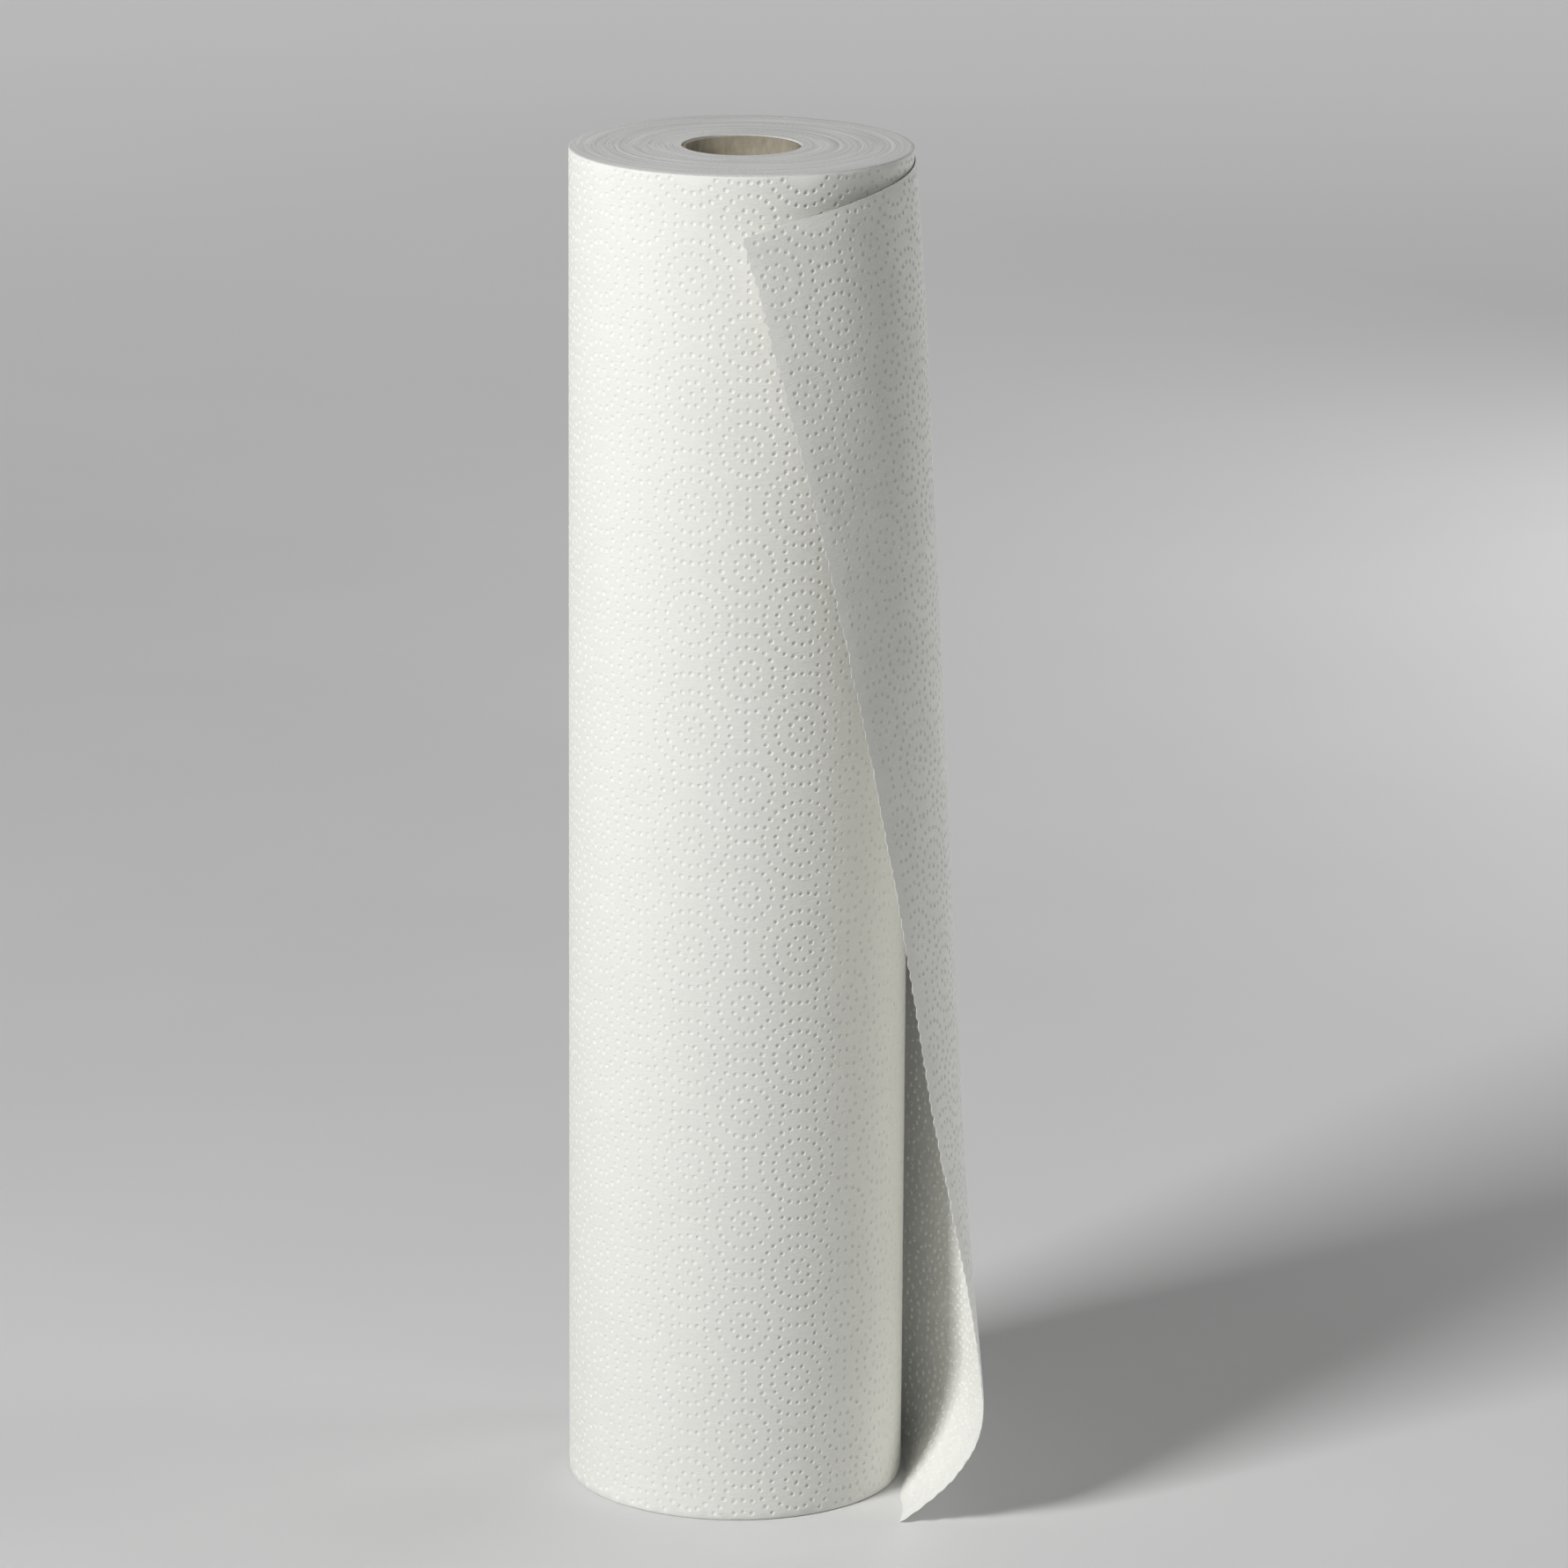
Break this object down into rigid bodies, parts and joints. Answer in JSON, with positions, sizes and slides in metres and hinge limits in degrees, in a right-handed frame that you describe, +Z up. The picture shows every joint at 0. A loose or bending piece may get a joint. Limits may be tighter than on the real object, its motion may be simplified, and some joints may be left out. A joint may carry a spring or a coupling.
{
  "type": "examination table paper roll",
  "caption": "Wide white embossed paper roll on a cardboard core, standing on end, its outer turn torn off along a perforation and hanging loose.",
  "frame": {"origin": "on the roll's axis at its base, in the mouth of the core's bore", "axes": "+Z up along the roll's axis, -Y towards the front, where the loose turn ends, +X to the side where it stands off"},
  "size_m": [0.1525, 0.1463, 0.5],
  "materials": {
    "paper": "matte embossed tissue",
    "cardboard": "plain grey-brown board"
  },
  "bodies": {
    "root": {"paper_roll": "paper", "core_tube": "cardboard"}
  },
  "joints": []
}
